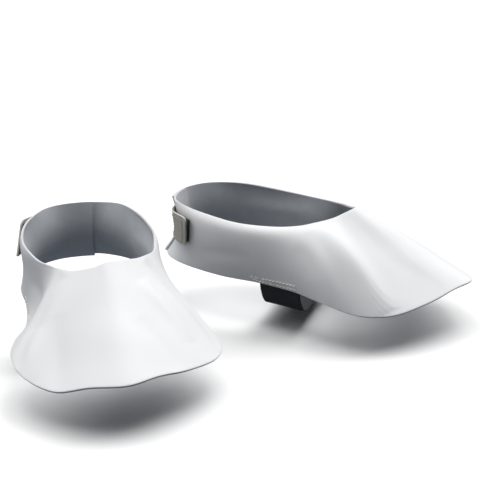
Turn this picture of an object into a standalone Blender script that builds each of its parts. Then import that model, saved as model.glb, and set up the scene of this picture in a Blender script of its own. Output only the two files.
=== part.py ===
"""Pair of leather welding spats, worn, with whatever they are worn on left out.

Each spat is one leather wrap. It goes round the ankle from a lap at the back, and in front it flares into a
flap over the instep. A tab goes round the back and closes the lap with hook and loop tape, and a webbing
strap, sewn inside the hem, goes under the foot. Both spats are cut alike.

A spat is worked out in its foot's own axes: x forward, y to the wearer's left, z up from the ground, with
the ankle's middle at x = y = 0. The pair then stands in the world with +Z up, the right foot's toe towards
-Y, and the origin at the middle of the right spat's collar.
"""
import math
from collections import namedtuple

import bpy
import numpy as np

MM = 0.001

# Driving dimensions
WALL = 2.0 * MM                 # the wrap's leather
SEAM_GAP = 0.3 * MM             # between pieces that touch
COLLAR_HEIGHT = 98 * MM         # the collar's middle above the ground
COLUMNS = 80                    # steps round the wrap
LAP_COLUMNS = 2                 # each end of the wrap goes this far past the middle of the back
LAP_RAMP = 5                    # steps over which the outer end rises onto the inner one
ROWS = 9                        # steps from the collar down to the hem

TAB_THICKNESS = 1.6 * MM
TAB_TOP = 0.20                  # the tab's edges where it is sewn, as parts of the wrap's height: 26 mm apart
TAB_BOTTOM = 0.70
TAB_ROWS = 5                    # steps down the tab
TAB_COLUMNS = 14.5              # the tab's length, in steps round the wrap
TAB_LOOSE = 5.0                 # steps over which its free end leaves the leather
TAPE_THICKNESS = 0.8 * MM
TAPE_INSET = 0.04               # the tapes' edges inside the tab's, as parts of the wrap's height
TAPE_COLUMNS = 4.0              # the tapes' length, in steps
TAPE_BACK = 0.15                # the tapes' ends, in steps, behind the tab's free end

STRAP_WIDTH = 38 * MM
STRAP_THICKNESS = 1.6 * MM
STRAP_MIDDLE = 28 * MM          # the strap's middle ahead of the ankle's middle
STRAP_SEWN = 0.26               # how far it runs up inside the wrap, as a part of the wrap's height
STRAP_LOW = 13 * MM             # its outer face above the ground, under the foot, at its middle
STRAP_SLOPE = 0.12              # it falls this much forward, as a shoe's waist does
STRAP_HALF_SPAN = 30 * MM       # half the flat stretch under the foot

Foot = namedtuple("Foot", "name forward_turn x y medial_side tab_end tab_slant tab_rise tab_lift")
FEET = (
    # forward_turn is the toe's direction, from +X. x and y place the ankle's middle, from the origin.
    # medial_side is the side that faces the other foot: +1 is the wearer's left, -1 the wearer's right.
    # tab_end is the column that the tab's free end reaches, where the middle of the back is at COLUMNS. Its upper
    # corner reaches tab_slant steps further, and its lower one as much less. The free end lies higher than the
    # sewn one by tab_rise, a part of the wrap's height, and stands off by tab_lift.
    Foot("right", math.radians(-76.3), 0 * MM, 0 * MM, +1, 90.4, -0.6, 0.17, 2.5 * MM),
    Foot("left", math.radians(-16.9), 149.2 * MM, 90.5 * MM, -1, 88.5, 0.6, 0.065, 2.2 * MM),
)

Station = namedtuple("Station", "collar_x collar_out collar_up hem_x hem_out hem_up swell hollow")
# One row for each line down the leather, from the front round to the back, in millimetres. Out is from the
# foot's middle line. Swell pushes the leather out just below the collar, hollow draws it in above the hem.
MEDIAL = (
    Station(83, 0, 103, 186, 0, 43, 0, 0),
    Station(81, 9, 103, 175, 25, 43, 0, 0),
    Station(75, 18, 101, 157, 52, 38, 0, 0),
    Station(66, 28, 98, 132, 79, 34, 0, 0),
    Station(54, 38, 96, 103, 88, 34, 0, 0),
    Station(40, 46, 94, 72, 80, 38, 1, 3),
    Station(19, 51, 93, 44, 68, 41, 3, 4),
    Station(-12, 55, 95, 10, 60, 44, 4, 4),
    Station(-42, 50, 99, -27, 56, 48, 3, 5),
    Station(-67, 38, 101, -63, 46, 50, 0, 7),
    Station(-82, 22, 100, -87, 25, 48, 0, 9),
    Station(-86, 0, 100, -95, 0, 47, 0, 9),
)
LATERAL = (
    Station(83, 0, 103, 186, 0, 43, 0, 0),
    Station(82, 8, 100, 176, 27, 40, 0, 0),
    Station(78, 16, 97, 159, 52, 32, 0, 0),
    Station(71, 25, 94, 131, 72, 33, 0, 0),
    Station(62, 33, 93, 101, 78, 37, 0, 0),
    Station(51, 40, 92, 72, 73, 39, 0, 6),
    Station(30, 50, 91, 43, 62, 39, 1, 8),
    Station(-8, 57, 94, 11, 58, 42, 3, 3),
    Station(-41, 52, 98, -27, 59, 46, 2, 3),
    Station(-66, 38, 100, -63, 47, 49, 0, 6),
    Station(-81, 22, 100, -87, 24, 48, 0, 8),
    Station(-86, 0, 100, -95, 0, 47, 0, 9),
)


def clear_scene():
    for old in list(bpy.data.objects):
        bpy.data.objects.remove(old, do_unlink=True)


def material(name, colour, roughness):
    made = bpy.data.materials.new(name)
    made.use_nodes = True
    shader = made.node_tree.nodes["Principled BSDF"]
    shader.inputs["Base Color"].default_value = (*colour, 1.0)
    shader.inputs["Roughness"].default_value = roughness
    shader.inputs["Metallic"].default_value = 0.0
    return made


def ramp(start, end, value):
    """Rise from 0 at start to 1 at end, level at both ends."""
    t = np.clip((value - start) / (end - start), 0.0, 1.0)
    return t * t * (3 - 2 * t)


def round_loop(rows, place):
    """Read a closed table of rows at fractional places, on a Catmull-Rom curve through the rows."""
    count = len(rows)
    first = np.floor(place).astype(int)
    t = (place - first)[..., None]
    before, here, after, beyond = (rows[(first + k) % count] for k in (-1, 0, 1, 2))
    return 0.5 * (2 * here + (after - before) * t
                  + (2 * before - 5 * here + 4 * after - beyond) * t ** 2
                  + (3 * here - before - 3 * after + beyond) * t ** 3)


def station_row(station, side):
    s = station
    collar = (s.collar_x, side * s.collar_out, s.collar_up)
    hem = (s.hem_x, side * s.hem_out, s.hem_up)
    return [v * MM for v in (*collar, *hem, s.swell, s.hollow)]


def unit_across(down, along):
    across = np.cross(down, along)
    return across / np.linalg.norm(across, axis=-1, keepdims=True)


def moved(face, column, drop, out):
    """Points of a face, given as a function of column and drop, moved out of it by a distance."""
    column, drop, out = np.broadcast_arrays(*(np.asarray(v, float) for v in (column, drop, out)))
    along = face(column + 0.1, drop) - face(column - 0.1, drop)
    down = face(column, drop + 0.002) - face(column, drop - 0.002)
    return face(column, drop) + unit_across(down, along) * out[..., None]


class Leather:
    """The wrap's outer face as a surface: column runs from 0 at the back, by the wearer's right, the front and
    the left, to COLUMNS at the back again, and drop from 0 at the collar to 1 at the hem."""

    def __init__(self, foot):
        right, left = (LATERAL, MEDIAL) if foot.medial_side > 0 else (MEDIAL, LATERAL)
        loop = [station_row(s, -1) for s in reversed(right)]
        loop += [station_row(s, +1) for s in left[1:-1]]
        self.rows = np.array(loop)

    def ruled(self, column, drop):
        """A point on the straight line from collar to hem, with the swell and the hollow there."""
        rows = round_loop(self.rows, (column / COLUMNS % 1.0) * len(self.rows))
        collar, hem = rows[..., 0:3], rows[..., 3:6]
        return collar + (hem - collar) * drop[..., None], rows[..., 6], rows[..., 7]

    def face(self, column, drop):
        """A point of the outer face, before the outer end is raised onto the inner one."""
        column, drop = np.broadcast_arrays(np.asarray(column, float), np.asarray(drop, float))
        point, swell, hollow = self.ruled(column, drop)
        step = 0.1
        along = self.ruled(column + step, drop)[0] - self.ruled(column - step, drop)[0]
        down = self.ruled(column, drop + step)[0] - self.ruled(column, drop - step)[0]
        push = swell * np.sin(math.pi * np.clip(drop / 0.55, 0, 1)) ** 2
        draw = hollow * np.sin(math.pi * drop)
        return point + unit_across(down, along) * (push - draw)[..., None]

    def at(self, column, drop, out):
        """A point of the outer face, moved out of the leather by a distance."""
        return moved(self.face, column, drop, out)

    def column_at(self, side, x, drop):
        """The column on one side of the foot where the face is a given distance forward."""
        half = COLUMNS / 2
        columns = np.linspace(0, half, 400) if side < 0 else np.linspace(COLUMNS, half, 400)
        return np.interp(x, self.face(columns, drop)[:, 0], columns)


def sheet(name, points, thickness, finish, foot):
    """A grid of points, [along, down], as one sheet of cloth whose given points are its outer face."""
    along, down = points.shape[:2]
    faces = []
    for i in range(along - 1):
        for j in range(down - 1):
            corner = i * down + j
            faces.append((corner, corner + 1, corner + down + 1, corner + down))
    mesh = bpy.data.meshes.new(name)
    mesh.from_pydata(points.reshape(-1, 3).tolist(), [], faces)
    mesh.materials.append(finish)
    mesh.shade_smooth()
    mesh.set_sharp_from_angle(angle=math.radians(50))
    made = bpy.data.objects.new(name, mesh)
    bpy.context.scene.collection.objects.link(made)
    made.location = (foot.x, foot.y, -COLLAR_HEIGHT)
    made.rotation_euler = (0, 0, foot.forward_turn)
    wall = made.modifiers.new("wall", "SOLIDIFY")
    wall.thickness = thickness
    wall.offset = -1.0


def make_wrap(foot, leather, finish):
    column = np.arange(-LAP_COLUMNS, COLUMNS + LAP_COLUMNS + 1)
    lap_start = COLUMNS - LAP_COLUMNS
    raised = ramp(lap_start - LAP_RAMP, lap_start, column) * (WALL + SEAM_GAP)
    drop = np.linspace(0, 1, ROWS + 1)
    points = leather.at(column[:, None], drop[None, :], raised[:, None])
    sheet(f"wrap_{foot.name}", points, WALL, finish, foot)


def tab_face(foot, leather, column, drop):
    """The tab's outer face: it lies on the lap, then on the two tapes, and its free end stands off."""
    lap_start = COLUMNS - LAP_COLUMNS
    lap_end = COLUMNS + LAP_COLUMNS
    on_lap = ramp(lap_start - LAP_RAMP, lap_start, column) * (WALL + SEAM_GAP) + SEAM_GAP
    over_tapes = 2 * TAPE_THICKNESS + 3 * SEAM_GAP
    rise = ramp(lap_end - 1, lap_end + 1, column) * (over_tapes - WALL - 2 * SEAM_GAP)
    loose = np.clip((column - (foot.tab_end - TAB_LOOSE)) / TAB_LOOSE, 0, None)
    return leather.at(column, drop, on_lap + rise + foot.tab_lift * loose ** 2 + TAB_THICKNESS)


def tab_place(foot, back, share):
    """Column and drop of a place on the tab: steps behind its free end, and a share of its width down."""
    near_end = ramp(TAB_COLUMNS, 0, back)
    column = foot.tab_end - back + foot.tab_slant * (1 - 2 * share) * near_end
    drop = TAB_TOP + (TAB_BOTTOM - TAB_TOP) * share - foot.tab_rise * near_end
    return np.broadcast_arrays(column, drop)


def make_tab(foot, leather, finish):
    back = np.arange(TAB_COLUMNS, -0.25, -0.5)[:, None]
    column, drop = tab_place(foot, back, np.linspace(0, 1, TAB_ROWS + 1)[None, :])
    sheet(f"tab_{foot.name}", tab_face(foot, leather, column, drop), TAB_THICKNESS, finish, foot)


def make_tapes(foot, leather, finish):
    """The hook tape lies under the tab's free end, and the loop tape on the wrap below it."""
    back = np.arange(TAPE_COLUMNS, -0.25, -0.5)[:, None] + TAPE_BACK
    inset = TAPE_INSET / (TAB_BOTTOM - TAB_TOP)
    share = np.clip(np.linspace(0, 1, TAB_ROWS + 1), inset, 1 - inset)[None, :]
    column, drop = tab_place(foot, back, share)
    hook = moved(lambda c, d: tab_face(foot, leather, c, d), column, drop, -(TAB_THICKNESS + SEAM_GAP))
    loop = leather.at(column, drop, SEAM_GAP + TAPE_THICKNESS)
    sheet(f"hook_tape_{foot.name}", hook, TAPE_THICKNESS, finish, foot)
    sheet(f"loop_tape_{foot.name}", loop, TAPE_THICKNESS, finish, foot)


def strap_side(leather, side, x, steps):
    """One side of the strap, from its sewn end up inside the wrap down to the flat stretch under the foot."""
    drop = np.linspace(1 - STRAP_SEWN, 1, 4)
    inside = -(WALL + SEAM_GAP)
    sewn = np.array([leather.at(leather.column_at(side, x, d), d, inside) for d in drop])
    hem = sewn[-1]
    low = np.array([x, side * STRAP_HALF_SPAN, STRAP_LOW - STRAP_SLOPE * (x - STRAP_MIDDLE)])
    run = np.linalg.norm(hem - low)
    leave = hem + (sewn[-1] - sewn[-2]) / np.linalg.norm(sewn[-1] - sewn[-2]) * run * 0.25
    arrive = low + np.array([0, side, 0]) * run * 0.35
    t = np.linspace(0, 1, steps + 1)[1:, None]
    bend = (1 - t) ** 3 * hem + 3 * (1 - t) ** 2 * t * leave + 3 * (1 - t) * t ** 2 * arrive + t ** 3 * low
    return np.vstack([sewn, bend])


def make_strap(foot, leather, finish):
    lines = []
    for x in np.linspace(STRAP_MIDDLE - STRAP_WIDTH / 2, STRAP_MIDDLE + STRAP_WIDTH / 2, 6):
        right, left = (strap_side(leather, side, x, steps=8) for side in (-1, +1))
        flat = np.linspace(right[-1], left[-1], 5)[1:-1]
        lines.append(np.vstack([right, flat, left[::-1]]))
    sheet(f"strap_{foot.name}", np.array(lines), STRAP_THICKNESS, finish, foot)


def build():
    clear_scene()
    white = material("white_leather", (0.80, 0.80, 0.81), 0.55)
    grey = material("grey_leather", (0.52, 0.51, 0.46), 0.65)
    tape = material("black_tape", (0.02, 0.02, 0.02), 0.9)
    webbing = material("black_webbing", (0.015, 0.015, 0.015), 0.8)
    for foot in FEET:
        leather = Leather(foot)
        make_wrap(foot, leather, white)
        make_tab(foot, leather, grey)
        make_tapes(foot, leather, tape)
        make_strap(foot, leather, webbing)


build()
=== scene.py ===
# %% [markdown]
# # A pair of white leather spats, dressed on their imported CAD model
# Each spat is one panel of white leather, worn as a ring that laps at the back and flares in front into a
# flap. A grey tab closes the lap with hook and loop tape, and a strap of webbing runs underneath.
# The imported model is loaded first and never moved: it is the frame that every finer piece is fitted to.

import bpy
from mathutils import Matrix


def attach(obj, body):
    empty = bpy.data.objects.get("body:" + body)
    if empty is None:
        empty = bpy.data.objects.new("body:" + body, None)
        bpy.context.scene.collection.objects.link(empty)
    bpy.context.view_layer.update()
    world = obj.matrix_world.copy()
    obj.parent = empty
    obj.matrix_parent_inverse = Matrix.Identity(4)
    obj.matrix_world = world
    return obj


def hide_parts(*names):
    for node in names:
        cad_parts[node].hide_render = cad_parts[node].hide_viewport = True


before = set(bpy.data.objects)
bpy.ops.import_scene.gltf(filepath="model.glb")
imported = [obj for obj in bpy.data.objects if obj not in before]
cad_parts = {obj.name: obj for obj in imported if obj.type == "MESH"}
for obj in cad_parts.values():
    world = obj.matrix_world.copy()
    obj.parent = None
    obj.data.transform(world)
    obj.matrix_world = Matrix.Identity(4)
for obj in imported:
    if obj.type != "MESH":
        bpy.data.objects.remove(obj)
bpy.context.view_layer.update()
print("CAD nodes:", sorted(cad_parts))

# %% [markdown]
# ## The sizes
# The source of the solids has named sizes and two short tables, one for each side of a spat. The fine pieces
# have to lie where the solids lie, so the same numbers are repeated here. Each row of a table is one line
# down the leather, from the collar to the hem, in the spat's own axes: x forwards, y to the left.

# %% Named sizes, in metres
import math
from collections import namedtuple

import bpy
import numpy as np

MM = 0.001
WALL = 2.0 * MM                 # the wrap's leather
SEAM_GAP = 0.3 * MM             # between pieces that touch
COLLAR_HEIGHT = 98 * MM         # the collar's middle above the ground
COLUMNS = 80                    # steps once round the wrap
LAP_COLUMNS = 2                 # each end goes this far past the middle of the back
LAP_RAMP = 5                    # columns in which the outer end climbs onto the inner one
TAB_THICKNESS = 1.6 * MM
TAB_TOP = 0.20                  # the sewn tab's edges, as shares of the leather's height
TAB_BOTTOM = 0.70
TAB_COLUMNS = 14.5              # the tab's length
TAB_LOOSE = 5.0                 # so many of its columns stand off
TAPE_THICKNESS = 0.8 * MM
TAPE_INSET = 0.04               # from the tab's edges in to the tapes', as a share of the height
TAPE_COLUMNS = 4.0
TAPE_BACK = 0.15                # from the tab's free end back to the tapes'
STRAP_WIDTH = 38 * MM
STRAP_THICKNESS = 1.6 * MM
STRAP_MIDDLE = 28 * MM          # in front of the collar's middle
STRAP_SEWN = 0.26               # its sewn ends reach up by this share of the height
STRAP_LOW = 13 * MM             # above the ground
STRAP_SLOPE = 0.12              # how much it falls towards the front
STRAP_HALF_SPAN = 30 * MM       # half of its flat stretch
ROLL = 0.11                     # the collar's roll is steep over this part of the height
ROLL_SCALE = 1.6                # brings the roll's peak to about the table's swell
NEAR = 0.1                      # a direction on a face is taken between two places this far to either side
NEAR_DROP = 0.002

# the tab's free end reaches column tab_end, its upper corner tab_slant further and its lower one as much
# less; it lies tab_rise higher than the sewn end, a share of the height, and stands off by tab_lift
Spat = namedtuple("Spat", "name forward_turn x y medial_side tab_end tab_slant tab_rise tab_lift")
RIGHT = Spat("right", math.radians(-76.3), 0 * MM, 0 * MM, +1, 90.4, -0.6, 0.17, 2.5 * MM)
LEFT = Spat("left", math.radians(-16.9), 149.2 * MM, 90.5 * MM, -1, 88.5, 0.6, 0.065, 2.2 * MM)
print("leather %.1f mm thick, strap %.0f mm wide" % (WALL / MM, STRAP_WIDTH / MM))

# %% The lines down the leather
# collar x, out, up, then hem x, out, up, then swell and hollow, in millimetres, from the front to the back
MEDIAL = (
    (83, 0, 103, 186, 0, 43, 0, 0), (81, 9, 103, 175, 25, 43, 0, 0), (75, 18, 101, 157, 52, 38, 0, 0),
    (66, 28, 98, 132, 79, 34, 0, 0), (54, 38, 96, 103, 88, 34, 0, 0), (40, 46, 94, 72, 80, 38, 1, 3),
    (19, 51, 93, 44, 68, 41, 3, 4), (-12, 55, 95, 10, 60, 44, 4, 4), (-42, 50, 99, -27, 56, 48, 3, 5),
    (-67, 38, 101, -63, 46, 50, 0, 7), (-82, 22, 100, -87, 25, 48, 0, 9), (-86, 0, 100, -95, 0, 47, 0, 9))
LATERAL = (
    (83, 0, 103, 186, 0, 43, 0, 0), (82, 8, 100, 176, 27, 40, 0, 0), (78, 16, 97, 159, 52, 32, 0, 0),
    (71, 25, 94, 131, 72, 33, 0, 0), (62, 33, 93, 101, 78, 37, 0, 0), (51, 40, 92, 72, 73, 39, 0, 6),
    (30, 50, 91, 43, 62, 39, 1, 8), (-8, 57, 94, 11, 58, 42, 3, 3), (-41, 52, 98, -27, 59, 46, 2, 3),
    (-66, 38, 100, -63, 47, 49, 0, 6), (-81, 22, 100, -87, 24, 48, 0, 8), (-86, 0, 100, -95, 0, 47, 0, 9))
# the left spat's medial side is fuller: it has its own hem up, swell and hollow for each line of MEDIAL
FULLER = (
    (43, 0, 0), (43, 0, 0), (38, 0, 0), (34, 1, -2), (34, 2, -7), (38, 4, -4),
    (41, 6, -1), (43, 7, 0), (44, 7, 1), (47, 4, 4), (47, 1, 8), (47, 0, 9))
print("tables of", len(MEDIAL), "and", len(LATERAL), "lines down the leather")

# %% [markdown]
# ## The leather as a surface
# A wrap could be sculpted, or draped over a form by simulation. Here it is a function of two numbers: column,
# which counts once round the ring from the back, and drop, from 0 at the collar to 1 at the hem. Tab, tapes,
# strap and thread ask the same function for their places, so they follow the leather wherever it goes.

# %% The ruled surface between the tables' points
def ramp(start, end, value):
    """3t^2 - 2t^3, where t runs from 0 at start to 1 at end: a rise that is level at both ends."""
    t = np.clip((value - start) / (end - start), 0.0, 1.0)
    return t * t * (3 - 2 * t)


def station_loop(spat):
    """Both tables as one closed loop of rows: from the back by the right side, the front and the left."""
    fuller = np.hstack([np.array(MEDIAL)[:, :5], np.array(FULLER)])
    right, left = (LATERAL, MEDIAL) if spat.medial_side > 0 else (fuller, LATERAL)
    to_the_right = np.array([1, -1, 1, 1, -1, 1, 1, 1])
    return np.vstack([np.array(right[::-1]) * to_the_right, np.array(left[1:-1])]) * MM


LOOPS = {spat.name: station_loop(spat) for spat in (RIGHT, LEFT)}


def ruled(spat, column, drop):
    """Catmull-Rom between the rows, for the point at the collar and the one at the hem, and a straight line
    between those two. Swell and hollow are read in the same way."""
    rows = LOOPS[spat.name]
    place = (column / COLUMNS % 1.0) * len(rows)
    first = np.floor(place).astype(int)
    t = (place - first)[..., None]
    before, here, after, beyond = (rows[(first + k) % len(rows)] for k in (-1, 0, 1, 2))
    row = 0.5 * (2 * here + (after - before) * t + (2 * before - 5 * here + 4 * after - beyond) * t ** 2
                 + (3 * here - before - 3 * after + beyond) * t ** 3)
    return row[..., 0:3] + (row[..., 3:6] - row[..., 0:3]) * drop[..., None], row[..., 6], row[..., 7]


print("rows in each closed loop:", len(LOOPS["left"]))


# %% The bare face
def unit(vector):
    """The vector divided by its own length."""
    return vector / np.linalg.norm(vector, axis=-1, keepdims=True)


def unit_across(down, along):
    """The unit vector at right angles to both, which points out of the leather."""
    return unit(np.cross(down, along))


def stand(spat, point):
    """Turn points from the spat's own axes by its forward turn, and put them where the spat stands."""
    c, s = math.cos(spat.forward_turn), math.sin(spat.forward_turn)
    turn = np.array([[c, s, 0], [-s, c, 0], [0, 0, 1]])
    return point @ turn + np.array([spat.x, spat.y, -COLLAR_HEIGHT])


def bare_face(spat, column, drop):
    """The ruled surface, plus swell times 1 - exp(-drop / ROLL) less its own straight line, less hollow times
    sin(pi drop), along its own normal, then turned and placed as the spat stands."""
    column, drop = np.broadcast_arrays(np.asarray(column, float), np.asarray(drop, float))
    point, swell, hollow = ruled(spat, column, drop)
    along = ruled(spat, column + NEAR, drop)[0] - ruled(spat, column - NEAR, drop)[0]
    down = ruled(spat, column, drop + NEAR)[0] - ruled(spat, column, drop - NEAR)[0]
    roll = (1 - np.exp(-drop / ROLL) - drop * (1 - math.exp(-1 / ROLL))) * ROLL_SCALE
    push = swell * roll - hollow * np.sin(math.pi * drop)
    return stand(spat, point + unit_across(down, along) * push[..., None])


def moved(face, column, drop, out):
    """A face's points plus out times its unit normal, the cross product of two small steps on the face."""
    column, drop, out = np.broadcast_arrays(*(np.asarray(v, float) for v in (column, drop, out)))
    along = face(column + NEAR, drop) - face(column - NEAR, drop)
    down = face(column, drop + NEAR_DROP) - face(column, drop - NEAR_DROP)
    return face(column, drop) + unit_across(down, along) * out[..., None]


tip = bare_face(RIGHT, COLUMNS / 2, 1.0)
print("front tip of the right hem at", np.round(tip * 1000, 1), "mm")

# %% [markdown]
# ## Creases and slow waves
# Worn leather of this weight does not wrinkle finely. It takes a few soft troughs where it bends, and it is
# never quite even between them. Each trough or ridge is a curve through a few places on the leather. It has
# a width and a depth in millimetres, is deepest along its middle and fades to nothing at both ends. One with
# a negative depth is a ridge. Such a table gives full control of where the light breaks, which a simulation
# would not, and the slow waves keep the rest from looking machined.

# %% The table of creases
Crease = namedtuple("Crease", "places width depth")
CREASES = {
    "left": (
        Crease(((23.8, 0.10), (24.4, 0.25), (25.0, 0.45), (25.2, 0.72), (25.0, 1.04)), 8.5, 1.3),
        Crease(((26.6, 0.06), (27.6, 0.30), (28.4, 0.60), (28.8, 0.97)), 10.5, -3.7),
        Crease(((20.5, 0.30), (21.8, 0.45), (22.0, 0.70)), 7.0, 0.8),
        Crease(((33.0, 0.55), (34.5, 0.75), (35.2, 1.0)), 8.0, 0.3),
        Crease(((41.5, 0.05), (44.0, 0.30), (44.4, 0.62)), 8.0, 1.1),
        Crease(((52.5, 0.03), (53.4, 0.35), (53.8, 0.70), (53.0, 1.0)), 7.5, 2.2),
        Crease(((49.6, 0.12), (50.0, 0.45), (49.5, 0.80)), 8.0, -1.2),
        Crease(((62.0, 0.25), (66.0, 0.40), (70.0, 0.42)), 6.0, 0.9),
        Crease(((8.5, 0.72), (11.5, 0.60), (15.0, 0.58)), 6.0, 0.8),
    ),
    "right": (
        Crease(((30.3, 0.40), (31.4, 0.62), (32.3, 0.80), (33.0, 1.02)), 8.0, 1.0),
        Crease(((27.4, 0.60), (28.8, 0.80), (30.0, 1.0)), 8.0, -0.8),
        Crease(((27.0, 0.04), (26.6, 0.30), (26.8, 0.65), (27.4, 1.0)), 7.5, 1.8),
        Crease(((52.6, 0.04), (53.8, 0.35), (53.8, 0.70), (53.2, 1.0)), 7.5, 2.4),
        Crease(((47.5, 0.20), (49.0, 0.45), (49.2, 0.80)), 8.0, -1.2),
        Crease(((44.0, 0.50), (45.5, 0.75), (46.0, 1.0)), 8.0, 0.8),
        Crease(((62.0, 0.55), (66.5, 0.45), (71.0, 0.50)), 6.0, 1.0),
        Crease(((15.5, 0.55), (18.5, 0.48), (21.5, 0.60)), 6.0, 0.8),
    ),
}
print("creases:", {name: len(table) for name, table in CREASES.items()})


# %% How far the leather departs from the bare face
def crease_line(spat, places, samples=70):
    """The polynomial through the crease's places, in column and in drop, put on the bare face."""
    t = np.linspace(0, 1, len(places))
    fine = np.linspace(0, 1, samples)
    column, drop = (np.polyval(np.polyfit(t, np.array(places)[:, k], len(places) - 1), fine) for k in (0, 1))
    return bare_face(spat, column, drop)


def creased(spat, point):
    """The sum over the creases of -depth exp(-(distance / width)^2) sin(pi t)^0.7. The distance is to the
    crease's line, and t, from 0 to 1, is the place on the line that is nearest."""
    out = np.zeros(point.shape[:-1])
    for crease in CREASES[spat.name]:
        line = crease_line(spat, crease.places)
        square = (point ** 2).sum(-1)[..., None] + (line ** 2).sum(-1) - 2 * point @ line.T
        nearest = square.argmin(axis=-1) / (len(line) - 1)
        fade = np.clip(np.sin(math.pi * nearest), 0, 1) ** 0.7
        out -= crease.depth * MM * np.exp(-square.min(axis=-1) / (crease.width * MM) ** 2) * fade
    return out


sample = bare_face(LEFT, np.linspace(0, 80, 200)[:, None], np.linspace(0, 1, 20)[None, :])
relief = creased(LEFT, sample) / MM
print("deepest trough %.1f mm, highest ridge %.1f mm" % (relief.min(), relief.max()))

# %% Slow waves, and the finished outer face
WAVE_COUNT = 9
WAVE_LENGTHS = np.linspace(0.045, 0.13, WAVE_COUNT)
WAVE_HEIGHTS = np.linspace(0.10, 0.26, WAVE_COUNT) * MM
WAVES = np.random.default_rng(11).normal(size=(WAVE_COUNT, 3))
WAVES *= (2 * math.pi / WAVE_LENGTHS / np.linalg.norm(WAVES, axis=1))[:, None]


def waved(spat, point):
    """The sum of nine plane waves: each is its height times the sine of its own direction times the point."""
    phase = np.arange(WAVE_COUNT) * 1.7 + (0.0 if spat.name == "right" else 2.3)
    return (np.sin(point @ WAVES.T + phase) * WAVE_HEIGHTS).sum(axis=-1)


def skin(spat, column, drop, out=0.0):
    """The finished outer face: the bare one moved out by its creases, its waves and a further distance."""
    column, drop = np.broadcast_arrays(np.asarray(column, float), np.asarray(drop, float))
    point = bare_face(spat, column, drop)
    relief = creased(spat, point) + waved(spat, point)
    return moved(lambda c, d: bare_face(spat, c, d), column, drop, relief + out)


print("waves from %.0f to %.0f mm long" % (WAVE_LENGTHS[0] / MM, WAVE_LENGTHS[-1] / MM))

# %% [markdown]
# ## From a grid of points to a sheet of leather
# A sheet is a grid whose points are its outer face. Solidify gives it its thickness inwards and can put the
# inner side and the cut rim in materials of their own, as real leather has a grain side, a napped side and a
# fibrous edge. A narrow bevel takes the sharpness off the rim, as a pressed or handled edge has.

# %% Meshes from arrays
def put_mesh(name, points, faces, uv=None, rim=None):
    """A mesh from arrays: points, faces, and for each point a UV and its distance to the nearest edge."""
    mesh = bpy.data.meshes.new(name)
    mesh.from_pydata(points.reshape(-1, 3).tolist(), [], faces.tolist())
    if uv is not None:
        loops = np.empty(len(mesh.loops), int)
        mesh.loops.foreach_get("vertex_index", loops)
        mesh.uv_layers.new(name="cut").data.foreach_set("uv", uv.reshape(-1, 2)[loops].ravel())
    if rim is not None:
        mesh.attributes.new("rim", "FLOAT", "POINT").data.foreach_set("value", rim.ravel())
    mesh.shade_smooth()
    made = bpy.data.objects.new(name, mesh)
    bpy.context.scene.collection.objects.link(made)
    return made


def grid_faces(along, down):
    """The quads of a grid: corner, the one below it, the one below and beside, the one beside."""
    corner = (np.arange(along - 1)[:, None] * down + np.arange(down - 1)[None, :]).ravel()
    return np.stack([corner, corner + 1, corner + down + 1, corner + down], axis=1)


def lengths(points, axis):
    """Distance walked along each line of a grid, from its first point."""
    step = np.linalg.norm(np.diff(points, axis=axis), axis=-1)
    start = np.zeros_like(np.take(step, [0], axis=axis))
    return np.concatenate([start, np.cumsum(step, axis=axis)], axis=axis)


print("a grid of 3 by 3 points has", len(grid_faces(3, 3)), "quads")


# %% The sheet maker
def sheet(name, points, thickness, finishes, bevel):
    """A grid of points, [along, down], as the outer face of one sheet. Its UVs are metres along and down, and
    rim is the least of the distances walked to its four edges. Of the finishes, the inner side takes the
    second and the rim the last."""
    along, down = points.shape[:2]
    from_start, from_top = lengths(points, 0), lengths(points, 1)
    from_end = lengths(points[::-1], 0)[::-1]
    from_bottom = lengths(points[:, ::-1], 1)[:, ::-1]
    rim = np.minimum.reduce([from_start, from_end, from_top, from_bottom])
    made = put_mesh(name, points, grid_faces(along, down), np.stack([from_start, from_top], axis=-1), rim)
    for finish in finishes:
        made.data.materials.append(finish)
    wall = made.modifiers.new("wall", "SOLIDIFY")
    wall.thickness = thickness
    wall.offset = -1.0
    wall.material_offset = min(1, len(finishes) - 1)
    wall.material_offset_rim = len(finishes) - 1
    edge = made.modifiers.new("edge", "BEVEL")
    edge.width = bevel
    edge.segments = 2
    edge.limit_method = "ANGLE"
    edge.angle_limit = math.radians(60)
    return made


print("sheets carry UVs in metres, and a float attribute, rim, with the distance to their nearest edge")

# %% [markdown]
# ## The camera
# The view is the photograph's own: its place was solved from the two collars and hems. The frame is square,
# so the lens follows from the focal length in pixels over the picture's width, on a 36 mm wide sensor.

# %% The camera
FOCAL_PIXELS = 1414.8
PICTURE_PIXELS = 500
SENSOR_MM = 36.0
camera_data = bpy.data.cameras.new("camera")
camera_data.sensor_fit = "HORIZONTAL"
camera_data.sensor_width = SENSOR_MM
camera_data.lens = FOCAL_PIXELS / PICTURE_PIXELS * SENSOR_MM
camera = bpy.data.objects.new("camera", camera_data)
camera.location = (0.133, -1.12135, 0.3839)
camera.rotation_euler = (math.radians(90 - 19.52), 0, 0)
bpy.context.scene.collection.objects.link(camera)
bpy.context.scene.camera = camera
print("lens %.1f mm" % camera_data.lens)

# %% [markdown]
# ## Helpers for materials
# Each material is a small program of nodes. An effect that several finishes share, such as grain or nap, is a
# node group with named inputs and outputs: it gives out heights and masks, and the shader stays outside it.

# %% Adding nodes and groups
def plug(tree, socket, value):
    """Join a socket to another node's output, or set it to a number or a colour."""
    if isinstance(value, bpy.types.NodeSocket):
        tree.links.new(value, socket)
    else:
        socket.default_value = value


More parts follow.
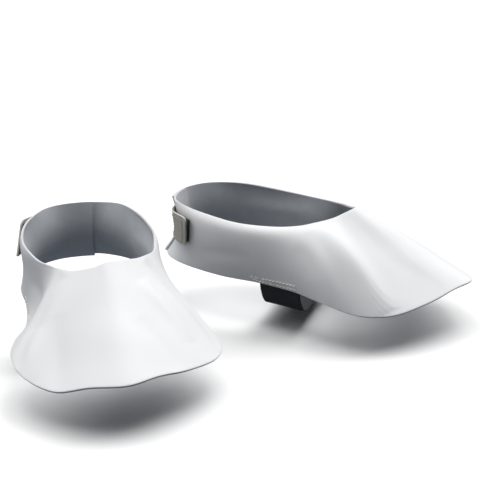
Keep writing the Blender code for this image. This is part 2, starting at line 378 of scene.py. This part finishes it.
def add(tree, kind, settings=None, **inputs):
    """Add a node. Settings are its own properties. Inputs go by name, or by number as i0, i1 and so on."""
    made = tree.nodes.new("ShaderNode" + kind)
    for key, value in (settings or {}).items():
        setattr(made, key, value)
    for key, value in inputs.items():
        by_number = key[0] == "i" and key[1:].isdigit()
        plug(tree, made.inputs[int(key[1:]) if by_number else key.replace("_", " ")], value)
    return made


def new_group(name, inputs, outputs):
    """An empty node group with its sockets: inputs are name, kind and first value, outputs name and kind."""
    tree = bpy.data.node_groups.new(name, "ShaderNodeTree")
    for label, kind, value in inputs:
        socket = tree.interface.new_socket(label, in_out="INPUT", socket_type="NodeSocket" + kind)
        socket.default_value = value
    for label, kind in outputs:
        tree.interface.new_socket(label, in_out="OUTPUT", socket_type="NodeSocket" + kind)
    return tree, tree.nodes.new("NodeGroupInput").outputs, tree.nodes.new("NodeGroupOutput").inputs


def use(tree, group, **inputs):
    """Place a node group in a material, with its inputs set or joined."""
    made = tree.nodes.new("ShaderNodeGroup")
    made.node_tree = group
    for key, value in inputs.items():
        plug(tree, made.inputs[key.replace("_", " ")], value)
    return made.outputs


print("an input is a number, a colour or another node's output")


# %% Arithmetic, colours, relief and shaders
def math_node(tree, operation, first, second=0.0, clamp=False):
    """One step of arithmetic on two values; a sine takes the first alone."""
    return add(tree, "Math", {"operation": operation, "use_clamp": clamp}, i0=first, i1=second).outputs[0]


def opaque(colour):
    """Red, green and blue get a fourth number, 1. Another node's output stays as it is."""
    return (*colour, 1) if isinstance(colour, tuple) else colour


def mix_colour(tree, share, first, second):
    """Blend two colours by a share from 0 to 1."""
    return add(tree, "Mix", {"data_type": "RGBA"}, i0=share, i6=opaque(first), i7=opaque(second)).outputs[2]


def bump_from(tree, height, strength, distance):
    """The normal that a height gives. The distance is how high a height of 1 stands, in metres."""
    return add(tree, "Bump", Strength=strength, Distance=distance, Height=height).outputs[0]


def new_material(name):
    """A new material, its tree of nodes and its shader."""
    made = bpy.data.materials.new(name)
    made.use_nodes = True
    return made, made.node_tree, made.node_tree.nodes["Principled BSDF"]


def dress(tree, shader, **sockets):
    """Join or set sockets of the shader by name."""
    for key, value in sockets.items():
        plug(tree, shader.inputs[key.replace("_", " ")], value)


print("opaque black is", opaque((0, 0, 0)))

# %% [markdown]
# ## Shared effects
# Leather has a pebble grain of cells about a millimetre across, fine pores, and tones that drift over
# centimetres. Its back is a nap of short fibres, and its cut edge shows them end on. These could be painted
# on images. Noise and cells in Object coordinates need none, and have the same scale on every piece.

# %% The grain group
grain_group, take, give = new_group(
    "leather_grain",
    (("Cells per metre", "Float", 900.0), ("Crinkle", "Float", 0.35)),
    (("Height", "Float"), ("Tone", "Float"), ("Pores", "Float")))
place = add(grain_group, "TexCoord").outputs["Object"]
drift = add(grain_group, "TexNoise", Vector=place, Scale=420.0, Detail=2.0).outputs["Color"]
bent = add(grain_group, "MixRGB", {"blend_type": "LINEAR_LIGHT"}, Fac=0.0012, Color1=place, Color2=drift)
cells = add(grain_group, "TexVoronoi", {"feature": "DISTANCE_TO_EDGE"}, Vector=bent.outputs[0],
            Scale=take["Cells per metre"])
pebble = math_node(grain_group, "POWER", cells.outputs["Distance"], 0.5)
fine = add(grain_group, "TexNoise", Vector=place, Scale=3200.0, Detail=3.0).outputs["Fac"]
height = add(grain_group, "Mix", i0=take["Crinkle"], i2=pebble, i3=fine).outputs[0]
tone = add(grain_group, "TexNoise", Vector=place, Scale=22.0, Detail=5.0, Roughness=0.6).outputs["Fac"]
grain_group.links.new(height, give["Height"])
grain_group.links.new(tone, give["Tone"])
grain_group.links.new(fine, give["Pores"])
print("grain puts out", [socket.name for socket in give if socket.name])

# %% The nap group
nap_group, take, give = new_group(
    "leather_nap",
    (("Fibre", "Float", 1500.0),),
    (("Height", "Float"), ("Tone", "Float")))
place = add(nap_group, "TexCoord").outputs["Object"]
fibre = add(nap_group, "TexNoise", Vector=place, Scale=take["Fibre"], Detail=4.0, Roughness=0.75,
            Distortion=1.2).outputs["Fac"]
matted = add(nap_group, "TexNoise", Vector=place, Scale=120.0, Detail=6.0, Roughness=0.7).outputs["Fac"]
nap_height = math_node(nap_group, "ADD", fibre, math_node(nap_group, "MULTIPLY", matted, 0.8))
nap_group.links.new(nap_height, give["Height"])
nap_group.links.new(matted, give["Tone"])
print("nap puts out", [socket.name for socket in give if socket.name])

# %% The rim group: how near a point is to the cut edge
rim_group, take, give = new_group("near_rim", (("Reach", "Float", 0.004),), (("Near", "Float"),))
rim = add(rim_group, "Attribute", {"attribute_name": "rim"}).outputs["Fac"]
near = math_node(rim_group, "SUBTRACT", 1.0, math_node(rim_group, "DIVIDE", rim, take["Reach"]), clamp=True)
rim_group.links.new(near, give["Near"])
print("groups:", [g.name for g in bpy.data.node_groups])

# %% [markdown]
# ## The leather's three finishes
# The outside is white, smooth and a little satin, and its tone drifts towards a pale blue-grey. The inside
# is the split's blue-grey nap, which catches light at a grazing angle, so it has sheen. The rim shows the
# pale core that chrome tanning leaves. The grey tab has the same three, in warmer and darker colours. One
# function makes each kind, so both leathers differ only in their numbers.

# %% Grain side and nap side
def grain_side(name, colour, deep, worn, roughness, bump):
    """Smooth leather: colour drifts to deep with the tone, pores darken it, and near the rim it is worn."""
    made, tree, shader = new_material(name)
    height, tone, pores = use(tree, grain_group, Cells_per_metre=900.0, Crinkle=0.45)
    drifted = mix_colour(tree, math_node(tree, "MULTIPLY", tone, 0.55, clamp=True), colour, deep)
    pored = mix_colour(tree, math_node(tree, "MULTIPLY", pores, 0.12), drifted, deep)
    near = use(tree, rim_group, Reach=0.0022)[0]
    edged = mix_colour(tree, math_node(tree, "MULTIPLY", near, 0.30), pored, worn)
    rough = add(tree, "MapRange", Value=tone, i3=roughness - 0.06, i4=roughness + 0.08).outputs[0]
    normal = bump_from(tree, height, bump, 0.00025)
    dress(tree, shader, Base_Color=edged, Roughness=rough, Specular_IOR_Level=0.45, Normal=normal)
    return made


def nap_side(name, colour, deep, bump):
    """Brushed split leather: rough, with fibres in clumps and a soft sheen."""
    made, tree, shader = new_material(name)
    height, tone = use(tree, nap_group, Fibre=1500.0)
    dress(tree, shader, Base_Color=mix_colour(tree, tone, deep, colour), Roughness=0.95,
          Specular_IOR_Level=0.2, Sheen_Weight=0.25, Sheen_Roughness=0.5,
          Normal=bump_from(tree, height, bump, 0.0004))
    return made


print("two makers of finishes: the grain side and the nap side")

# %% The white and the grey leather
white_grain = grain_side("white_leather_grain", (0.84, 0.84, 0.84), (0.77, 0.78, 0.80),
                         worn=(0.70, 0.71, 0.74), roughness=0.46, bump=0.30)
white_nap = nap_side("white_leather_nap", (0.66, 0.68, 0.70), (0.52, 0.55, 0.59), 0.6)
white_rim = nap_side("white_leather_rim", (0.66, 0.66, 0.69), (0.52, 0.52, 0.56), 0.5)
grey_grain = grain_side("grey_leather_grain", (0.42, 0.40, 0.34), (0.32, 0.31, 0.26),
                        worn=(0.58, 0.57, 0.52), roughness=0.66, bump=0.35)
grey_nap = nap_side("grey_leather_nap", (0.46, 0.44, 0.39), (0.34, 0.32, 0.28), 0.7)
grey_rim = nap_side("grey_leather_rim", (0.60, 0.59, 0.54), (0.46, 0.45, 0.41), 0.5)
print("leather finishes:", [made.name for made in bpy.data.materials if "leather" in made.name])

# %% [markdown]
# ## The wraps
# Each wrap is the whole leather surface, past the middle of the back at both ends, with its outer end raised
# onto its inner one. The grid is about a millimetre fine, enough for every crease and far finer than the
# solids, which only need the main form.

# %% The wraps
GRID_PER_COLUMN = 6
GRID_DOWN = 67


def wrap(spat):
    """The finished face from end to end, with the last columns raised by a wall and a gap for the lap."""
    whole = COLUMNS + 2 * LAP_COLUMNS
    column = np.linspace(-LAP_COLUMNS, COLUMNS + LAP_COLUMNS, whole * GRID_PER_COLUMN + 1)
    lap_start = COLUMNS - LAP_COLUMNS
    raised = ramp(lap_start - LAP_RAMP, lap_start, column) * (WALL + SEAM_GAP)
    points = skin(spat, column[:, None], np.linspace(0, 1, GRID_DOWN)[None, :], raised[:, None])
    return sheet(f"leather_wrap_{spat.name}", points, WALL, (white_grain, white_nap, white_rim), 0.4 * MM)


wraps = {spat.name: wrap(spat) for spat in (RIGHT, LEFT)}
print("points in each outer face:", len(wraps["right"].data.vertices))

# %% Declaring the wraps
for spat in (RIGHT, LEFT):
    piece = wraps[spat.name]
    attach(piece, "root")
    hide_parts(f"wrap_{spat.name}")
print("wraps:", [piece.name for piece in wraps.values()])

# %% [markdown]
# ## The closing tab
# The tab is a strap of grey leather, sewn to the wrap's outer end at the back. It lies on the lap, then on
# its two tapes, and its free end stands a little off, as a tab that is often peeled does. Its outline is a
# strip that rises and slants towards the free end, where its corners are rounded.

# %% The tab's face
def tab_out(spat, column):
    """How far the tab's outer face is from the leather's: over the lap, then over the tapes, then the lift
    times the square of the way along the loose end."""
    lap_start, lap_end = COLUMNS - LAP_COLUMNS, COLUMNS + LAP_COLUMNS
    on_lap = ramp(lap_start - LAP_RAMP, lap_start, column) * (WALL + SEAM_GAP) + SEAM_GAP
    over_tapes = 2 * TAPE_THICKNESS + 3 * SEAM_GAP
    rise = ramp(lap_end - 1, lap_end + 1, column) * (over_tapes - WALL - 2 * SEAM_GAP)
    loose = np.clip((column - (spat.tab_end - TAB_LOOSE)) / TAB_LOOSE, 0, None)
    return on_lap + rise + spat.tab_lift * loose ** 2 + TAB_THICKNESS


def tab_face(spat, column, drop, out=0.0):
    """The tab's outer face, or a face moved out of it."""
    return skin(spat, column, drop, tab_out(spat, column) + out)


def tab_place(spat, back, share):
    """Column and drop of a place on the tab, back columns before its free end and at a share of its width
    from the top. Both the slant and the rise grow as 3t^2 - 2t^3 towards the free end."""
    near_end = ramp(TAB_COLUMNS, 0.0, back)
    column = spat.tab_end - back + spat.tab_slant * (1 - 2 * share) * near_end
    return column, TAB_TOP + (TAB_BOTTOM - TAB_TOP) * share - spat.tab_rise * near_end


for spat in (RIGHT, LEFT):
    print("the", spat.name, "tab stands off by", round(spat.tab_lift / MM, 1), "mm at its free end")


# %% The tabs
TAB_ALONG = 150
TAB_DOWN = 41
CORNER = 0.12                   # a corner's size, and the curl's, as a share of the tab's width
CORNER_COLUMNS = 0.5
CURL = 0.35 * MM


def tab(spat):
    """Each line along is shortened near the top and bottom edge by the corner's 1 - sqrt(1 - d^2), d being
    how far it is into the corner, and both edges curl out by d^2 towards the free end."""
    share = np.linspace(0, 1, TAB_DOWN)
    into = np.clip((CORNER - np.minimum(share, 1 - share)) / CORNER, 0, 1)
    back = np.linspace(TAB_COLUMNS, 0, TAB_ALONG)[:, None]
    rounding = CORNER_COLUMNS * (1 - np.sqrt(1 - into ** 2))[None, :] * (1 - back / TAB_COLUMNS)
    column, drop = tab_place(spat, back + rounding, np.broadcast_to(share, (TAB_ALONG, TAB_DOWN)))
    curl = CURL * into ** 2 * ramp(spat.tab_end - 7, spat.tab_end - 2, column)
    return sheet(f"closing_tab_{spat.name}", tab_face(spat, column, drop, curl), TAB_THICKNESS,
                 (grey_grain, grey_nap, grey_rim), 0.35 * MM)


tabs = {spat.name: tab(spat) for spat in (RIGHT, LEFT)}
for spat in (RIGHT, LEFT):
    piece = tabs[spat.name]
    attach(piece, "root")
    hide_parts(f"tab_{spat.name}")
print("tabs:", [t.name for t in tabs.values()])

# %% [markdown]
# ## The hook and loop tapes
# Both are short pieces of black tape. The loop tape is a felt of fine loops, sewn to the wrap. The hook tape,
# under the tab's free end, has rows of small stiff hooks: each one is a short bent wire of a few faces, and
# all of them are joined in one mesh made from arrays.

# %% Black finishes
def tape_finish(name, colour, scale, bump, sheen):
    """Woven or looped nylon: near black, with fine relief and a little sheen."""
    made, tree, shader = new_material(name)
    height, tone = use(tree, nap_group, Fibre=scale)
    grey = tuple(c * 2.2 + 0.01 for c in colour)
    dress(tree, shader, Base_Color=mix_colour(tree, tone, colour, grey), Roughness=0.85, Sheen_Weight=sheen,
          Normal=bump_from(tree, height, bump, 0.0004))
    return made


loop_pile = tape_finish("loop_tape_pile", (0.018, 0.018, 0.020), 2600.0, 0.9, 0.35)
hook_back = tape_finish("hook_tape_back", (0.022, 0.022, 0.024), 1400.0, 0.5, 0.1)
hook_nylon, tree, shader = new_material("hook_nylon")
tone = use(tree, nap_group, Fibre=900.0)[1]
dress(tree, shader, Base_Color=mix_colour(tree, tone, (0.02, 0.02, 0.022), (0.05, 0.05, 0.055)),
      Roughness=0.35)
print("black finishes:", loop_pile.name, hook_back.name, hook_nylon.name)


# %% Many small tubes as one mesh
def join_tubes(name, at, axes, offsets, finish):
    """Equal tubes as one mesh. A point is its tube's place plus three directions, each times its own offset,
    in an array [tube, ring, corner]. Quads join the rings and close the first and the last one."""
    sway = sum(axis[:, None, None] * offset[..., None] for axis, offset in zip(axes, offsets))
    points = at[:, None, None] + sway
    count, rings, corners = points.shape[:3]
    ring = np.arange(rings - 1)[:, None] * corners
    here = np.arange(corners)[None, :]
    after = (here + 1) % corners
    wall = np.stack([ring + here, ring + after, ring + corners + after, ring + corners + here], axis=-1)
    k = np.arange(2, corners - 1, 2)
    cap = np.stack([0 * k, k + 1, k, k - 1], axis=-1)
    quads = np.concatenate([wall.reshape(-1, 4), cap, cap[:, ::-1] + (rings - 1) * corners])
    start = np.arange(count)[:, None, None] * rings * corners
    made = put_mesh(name, points, (quads[None] + start).reshape(-1, 4))
    made.data.materials.append(finish)
    return made


print("tubes need an even number of corners, so that quads can close them")

# %% Hooks
WIRE = 0.14 * MM                # a hook's radius at its root
ROOT_IN = 0.05 * MM             # the root starts this far inside the tape
PILE_GAP = 0.12 * MM            # its bend stays this far off the loops


def hooks(spat, rows=13, across=19, rings=6, corners=6):
    """One short bent wire for each place of a grid on the hook tape's inner face. With h the room there and a
    from 0 to 155 degrees, its path leaves the tape by h times the lesser of 1 and sin a + a/4, comes back by
    h/4 for each radian past 1.6, and leans over by 0.35 h (1 - cos a)."""
    back = np.linspace(TAPE_BACK + TAPE_COLUMNS - 0.3, TAPE_BACK + 0.2, rows)[:, None]
    place = tab_place(spat, back, np.linspace(0.14, 0.86, across)[None, :])
    column, drop = (v.ravel() for v in np.broadcast_arrays(*place))

    def face(c, d):
        return tab_face(spat, c, d)

    depth = TAB_THICKNESS + SEAM_GAP + TAPE_THICKNESS
    base = moved(face, column, drop, -depth + ROOT_IN)
    inward = unit(moved(face, column, drop, -(depth + 1 * MM)) - base)
    pile = skin(spat, column, drop, SEAM_GAP + TAPE_THICKNESS)
    room = np.clip(((pile - base) * inward).sum(-1) - PILE_GAP, 0.2 * MM, 1.3 * MM)[:, None, None]
    every_other = np.where(np.arange(len(column)) % 2, 1.0, -1.0)[:, None]
    lean = unit(face(column, drop + 0.01) - face(column, drop - 0.01)) * every_other
    a = np.linspace(0, math.radians(155), rings)[:, None]
    turn = np.linspace(0, 2 * math.pi, corners, endpoint=False)[None, :]
    thick = WIRE * (1 - 0.25 * a / a.max())
    up = np.minimum(np.sin(a) + 0.25 * a, 1.0) - 0.25 * np.clip(a - 1.6, 0, None)
    over = 0.35 * (1 - np.cos(a))
    offsets = (room * over + thick * np.cos(a) * np.cos(turn), room * up - thick * np.sin(a) * np.cos(turn),
               thick * np.sin(turn))
    return join_tubes(f"hooks_{spat.name}", base, (lean, inward, np.cross(inward, lean)), offsets, hook_nylon)


print("a hook's radius is %.2f mm at its root" % (WIRE / MM))


# %% The tapes
def tapes(spat, along=60, down=40):
    """Both tapes follow the tab's strip: the hook tape lies under the tab's inner face, the loop tape on the
    leather."""
    back = np.linspace(TAPE_BACK + TAPE_COLUMNS, TAPE_BACK, along)[:, None]
    inset = TAPE_INSET / (TAB_BOTTOM - TAB_TOP)
    column, drop = tab_place(spat, back, np.linspace(inset, 1 - inset, down)[None, :])
    under = moved(lambda c, d: tab_face(spat, c, d), column, drop, -(TAB_THICKNESS + SEAM_GAP))
    hook = sheet(f"hook_tape_fine_{spat.name}", under, TAPE_THICKNESS, (hook_back,), 0.12 * MM)
    loop = sheet(f"loop_tape_fine_{spat.name}", skin(spat, column, drop, SEAM_GAP + TAPE_THICKNESS),
                 TAPE_THICKNESS, (loop_pile,), 0.2 * MM)
    return hook, loop


for spat in (RIGHT, LEFT):
    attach(hooks(spat), "root")
    for piece, node, carrier in zip(tapes(spat), ("hook_tape", "loop_tape"), (tabs, wraps)):
        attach(piece, "root")
        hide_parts(f"{node}_{spat.name}")
print("tapes are", TAPE_THICKNESS * 1000, "mm thick")

# %% [markdown]
# ## The strap of webbing
# The strap is sewn inside the hem on both sides and hangs between them in one smooth curve, flat underneath.
# Elastic webbing has warp ribs all along it and a firmer edge on each side: here the ribs are real relief,
# a sine across the width, and the fine weave between them is bump that follows the strap's own UVs. The same
# weave also sets the colour: painted shade where its threads sink, and a painted highlight where they rise.

# %% The webbing's finish
WARP_PITCH = 0.00112
WEFT_PITCH = 0.0016
webbing, tree, shader = new_material("black_webbing_weave")
cut = add(tree, "UVMap", {"uv_map": "cut"}).outputs[0]
split = add(tree, "SeparateXYZ", Vector=cut).outputs
warp = math_node(tree, "SINE", math_node(tree, "MULTIPLY", split[0], 2 * math.pi / WARP_PITCH))
weft = math_node(tree, "SINE", math_node(tree, "MULTIPLY", split[1], 2 * math.pi / WEFT_PITCH))
weave = math_node(tree, "MULTIPLY", warp, weft)
height, tone = use(tree, nap_group, Fibre=2200.0)
woven = math_node(tree, "MULTIPLY", weave, 0.5)
relief = math_node(tree, "ADD", woven, math_node(tree, "MULTIPLY", height, 0.35))
# painted shade and painted highlight: the black is darker where the weave sinks and lighter where it rises,
# on the same pattern as its bump
raised = math_node(tree, "ADD", math_node(tree, "MULTIPLY", weave, 0.4), 0.5, clamp=True)
weave_with_painted_light = mix_colour(tree, raised, (0.012, 0.012, 0.013), (0.038, 0.038, 0.041))
dress(tree, shader, Base_Color=mix_colour(tree, tone, weave_with_painted_light, (0.02, 0.02, 0.022)), Roughness=0.78,
      Sheen_Weight=0.15, Normal=bump_from(tree, relief, 0.7, 0.0003))
print("the weave repeats every %.2f by %.2f mm" % (WARP_PITCH / MM, WEFT_PITCH / MM))


# %% The strap's path
def columns_at(spat, side, x, drop):
    """The columns on one side where the bare face is x forward at each drop, by interpolation in 400."""
    columns = np.linspace(0 if side < 0 else COLUMNS, COLUMNS / 2, 400)
    ahead = np.array([math.cos(spat.forward_turn), math.sin(spat.forward_turn)])
    face = bare_face(spat, columns[:, None], np.atleast_1d(drop)[None, :])
    forward = (face[..., :2] - np.array([spat.x, spat.y])) @ ahead
    return np.array([[np.interp(one, f, columns) for f in forward.T] for one in np.atleast_1d(x)])


def strap_side(spat, side, x):
    """Each line goes up inside the leather by columns at x, and from the hem by a cubic Bezier down to the
    flat stretch: (1-t)^3 hem + 3(1-t)^2 t leave + 3(1-t) t^2 arrive + t^3 low. The array is [line, step]."""
    drop = np.linspace(1 - STRAP_SEWN, 1, 14)
    sewn = skin(spat, columns_at(spat, side, x, drop), drop, -(WALL + SEAM_GAP))
    hem = sewn[:, -1:]
    low_height = STRAP_LOW - STRAP_SLOPE * (x - STRAP_MIDDLE)
    low = stand(spat, np.stack([x, np.full_like(x, side * STRAP_HALF_SPAN), low_height], -1))[:, None]
    level = stand(spat, np.array([0, side, 0])) - stand(spat, np.zeros(3))
    run = np.linalg.norm(hem - low, axis=-1, keepdims=True)
    leave = hem + unit(hem - sewn[:, -2:-1]) * run * 0.25
    arrive = low + level * run * 0.35
    t = np.linspace(0, 1, 41)[1:, None]
    bend = (1 - t) ** 3 * hem + 3 * (1 - t) ** 2 * t * leave + 3 * (1 - t) * t ** 2 * arrive + t ** 3 * low
    return np.concatenate([sewn, bend], axis=1)


path = strap_side(LEFT, -1, np.array([STRAP_MIDDLE]))
print("one side of the strap is %.0f mm long" % (lengths(path, 1)[0, -1] / MM))

# %% The straps
RIBS = 17
RIB_HEIGHT = 0.14 * MM
SELVEDGE = 0.025                # each firm edge's width, as a share of the webbing's


def strap(spat):
    """Both sides and the flat stretch between them, moved along the normal by the ribs, |sin| - 1 across the
    width, and by a slope down at both firm edges."""
    across = np.linspace(-0.5, 0.5, RIBS * 6 + 1)
    right, left = (strap_side(spat, side, STRAP_MIDDLE + across * STRAP_WIDTH) for side in (-1, +1))
    t = np.linspace(0, 1, 16)[1:-1, None]
    flat = right[:, -1:] + (left[:, -1:] - right[:, -1:]) * t
    points = np.concatenate([right, flat, left[:, ::-1]], axis=1)
    rib = np.abs(np.sin(math.pi * RIBS * (across + 0.5))) - 1
    edge = -np.clip((np.abs(across) - (0.5 - SELVEDGE)) / SELVEDGE, 0, 1)
    normal = unit_across(np.gradient(points, axis=1), np.gradient(points, axis=0))
    points = points + normal * ((rib + edge) * RIB_HEIGHT)[:, None, None]
    return sheet(f"under_strap_{spat.name}", points, STRAP_THICKNESS, (webbing,), 0.2 * MM)


straps = {spat.name: strap(spat) for spat in (RIGHT, LEFT)}
for spat in (RIGHT, LEFT):
    piece = straps[spat.name]
    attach(piece, "root")
    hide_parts(f"strap_{spat.name}")
print("ribs across the webbing:", RIBS)

# %% [markdown]
# ## The sewing
# Every stitch that shows is a short length of two-ply thread: it rises out of its needle hole, lies on the
# surface and dips into the next hole. One stitch is a small closed tube whose section has two lobes that
# turn as it goes. A whole row is worked out at once as one array, [stitch, ring, corner], and the same
# function that joined the hooks joins the rows in one mesh.

# %% Thread
PITCH = 3.5 * MM
STITCH = 3.0 * MM
THREAD = 0.54 * MM              # the thread's radius


def thread_finish(name, dark, pale):
    """Twisted thread: two tones in clumps, with the fibres' own fine relief."""
    made, tree, shader = new_material(name)
    height, tone = use(tree, nap_group, Fibre=3500.0)
    dress(tree, shader, Base_Color=mix_colour(tree, tone, dark, pale), Roughness=0.6,
          Normal=bump_from(tree, height, 0.4, 0.0001))
    return made


thread_cream = thread_finish("cream_thread", (0.90, 0.87, 0.78), (0.97, 0.96, 0.91))
thread_grey = thread_finish("grey_thread", (0.38, 0.37, 0.34), (0.60, 0.59, 0.55))
print("stitches %.1f mm long, one every %.1f mm" % (STITCH / MM, PITCH / MM))


# %% The stitch maker
def row_on(face, places, out):
    """Stitch middles, directions and normals along a line of (column, drop) places, one for each pitch."""
    corner = np.array(places, float)
    t = np.linspace(0, len(corner) - 1, 240 * (len(corner) - 1) + 1)
    column, drop = (np.interp(t, np.arange(len(corner)), corner[:, k]) for k in (0, 1))
    line = face(column, drop, out)
    walk = lengths(line, 0)
    count = max(1, round(walk[-1] / PITCH))
    middle = (np.arange(count) + 0.5) * walk[-1] / count
    at, ahead, behind = (np.stack([np.interp(middle + step, walk, line[:, k]) for k in range(3)], axis=-1)
                         for step in (0, 0.4 * STITCH, -0.4 * STITCH))
    where = [np.interp(middle, walk, v) for v in (column, drop)]
    return at, ahead - behind, face(*where, out + 1 * MM) - face(*where, out)


def stitches(name, rows, finish, slant=0.28, rings=9, corners=8):
    """Tubes along s from -1 to 1: the middle lies on the surface and falls with s^8, the radius shrinks to
    the ends, and it is also times 1 + 0.16 cos(2 (angle - 2.5 s)), as of two plies."""
    at, along, normal = (np.concatenate([row[k] for row in rows]) for k in range(3))
    along, normal = unit(along), unit(normal)
    along = unit(along + slant * np.cross(normal, along))
    s = np.linspace(-1, 1, rings)[:, None]
    angle = np.linspace(0, 2 * math.pi, corners, endpoint=False)[None, :]
    radius = THREAD * np.clip(1.05 - np.abs(s) ** 9, 0.12, 1) * (1 + 0.16 * np.cos(2 * (angle - 2.5 * s)))
    up = 0.6 * THREAD - 1.7 * THREAD * s ** 8 + radius * np.sin(angle)
    offsets = (s * STITCH / 2, up, radius * np.cos(angle))
    made = join_tubes(name, at, (along, normal, np.cross(normal, along)), offsets, finish)
    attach(made, "root")
    return made


print("a row is an array of stitch middles, directions and normals")

# %% The strap's seams
# two rows near the hem, a short return at the back and a slanted lock, each from one (x forward in mm, drop)
# to another
SEAM_LINES = (((12.5, 0.900), (45.0, 0.885)), ((6.0, 0.962), (45.5, 0.955)), ((2.0, 0.885), (6.3, 0.955)),
              ((6.6, 0.885), (8.6, 0.925)))


def strap_seam(spat):
    """Every line of the seam on both sides, outside and inside. Inside, the long rows start at the strap's
    edge and lie on it, and the short ones lie on the leather."""
    strap_edge = (STRAP_MIDDLE - STRAP_WIDTH / 2) / MM + 1.5
    rows = []
    for side in (-1, +1):
        for line in SEAM_LINES:
            on_strap = line[1][0] > strap_edge + 10
            start = strap_edge if on_strap else 0
            depth = WALL + (SEAM_GAP + STRAP_THICKNESS if on_strap else 0)
            outside = [(columns_at(spat, side, x * MM, d)[0, 0], d) for x, d in line]
            inside = [(columns_at(spat, side, max(x, start) * MM, d)[0, 0], d) for x, d in line]
            rows.append(row_on(lambda c, d, out: skin(spat, c, d, out), outside, 0.0))
            rows.append(row_on(lambda c, d, out: skin(spat, c, d, -out), inside, depth))
    return rows


seams = {}
for spat in (RIGHT, LEFT):
    seams[spat.name] = stitches(f"strap_seam_{spat.name}", strap_seam(spat), thread_cream)
print("faces in one strap's sewing:", len(seams["left"].data.polygons))


# %% The tab's seams
def tab_seam(spat):
    """A box at the sewn end, where tab and wrap are joined, and a box round the tape at the free end."""
    rows = []
    for start, end in ((TAB_COLUMNS - 0.5, TAB_COLUMNS - 3.2), (TAPE_COLUMNS, 0.55)):
        corners = ((start, 0.11), (end, 0.11), (end, 0.89), (start, 0.89), (start, 0.11))
        places = [tab_place(spat, back, share) for back, share in corners]
        for first, last in zip(places[:-1], places[1:]):
            rows.append(row_on(lambda c, d, out: tab_face(spat, c, d, out), (first, last), 0.0))
    return rows


tab_seams = {}
for spat in (RIGHT, LEFT):
    tab_seams[spat.name] = stitches(f"tab_seam_{spat.name}", tab_seam(spat), thread_grey)
print("faces in one tab's sewing:", len(tab_seams["left"].data.polygons))

# %% [markdown]
# ## Light, floor and surroundings
# Four wide suns stand for large soft studio boxes. The strongest is behind the pair on the right and high up,
# so tops and flaps stay near white while the sides turned to the camera fall off to a cool grey. The others
# are behind on the left, overhead and low on the left, and the world adds a little cool fill. The floor is
# plain and pale to the camera, but throws little light back, so the undersides of the flaps stay in shade.

# %% The floor
FLOOR_HALF = 6
corners = np.array([(-1, -1, 0), (1, -1, 0), (1, 1, 0), (-1, 1, 0)], float) * FLOOR_HALF
floor = put_mesh("floor", corners + np.array([0.13, 0, -COLLAR_HEIGHT]), np.array([[0, 1, 2, 3]]))
floor_material, tree, shader = new_material("pale_floor")
seen = add(tree, "LightPath").outputs["Is Camera Ray"]
pale = mix_colour(tree, seen, (0.105, 0.12, 0.145), (0.92, 0.92, 0.92))
dress(tree, shader, Base_Color=pale, Roughness=0.9)
floor.data.materials.append(floor_material)
print("the floor lies %.0f mm below the collar's middle" % (COLLAR_HEIGHT / MM))


# %% Lights and world
def soft_sun(name, energy, width, azimuth, elevation):
    """A sun as wide as a studio box. Azimuth 0 is the camera's side, 90 its right."""
    data = bpy.data.lights.new(name, "SUN")
    data.energy = energy
    data.angle = math.radians(width)
    made = bpy.data.objects.new(name, data)
    made.rotation_euler = (math.radians(90 - elevation), 0, math.radians(azimuth))
    bpy.context.scene.collection.objects.link(made)
    return made


BOX_WIDTH = 50
LIGHTS = (("rear_right_box", 2.35, 135, 50), ("rear_left_box", 0.8, 225, 50), ("top_box", 1.45, 0, 90),
          ("left_box", 0.9, 270, 35))
lights = [soft_sun(name, energy, BOX_WIDTH, *place) for name, energy, *place in LIGHTS]

world = bpy.data.worlds.new("studio")
bpy.context.scene.world = world
world.use_nodes = True
background = world.node_tree.nodes["Background"]
background.inputs["Color"].default_value = (0.86, 0.90, 1.0, 1)
background.inputs["Strength"].default_value = 0.03
bpy.context.scene.view_settings.view_transform = "Standard"
print("lights:", [light.name for light in lights])
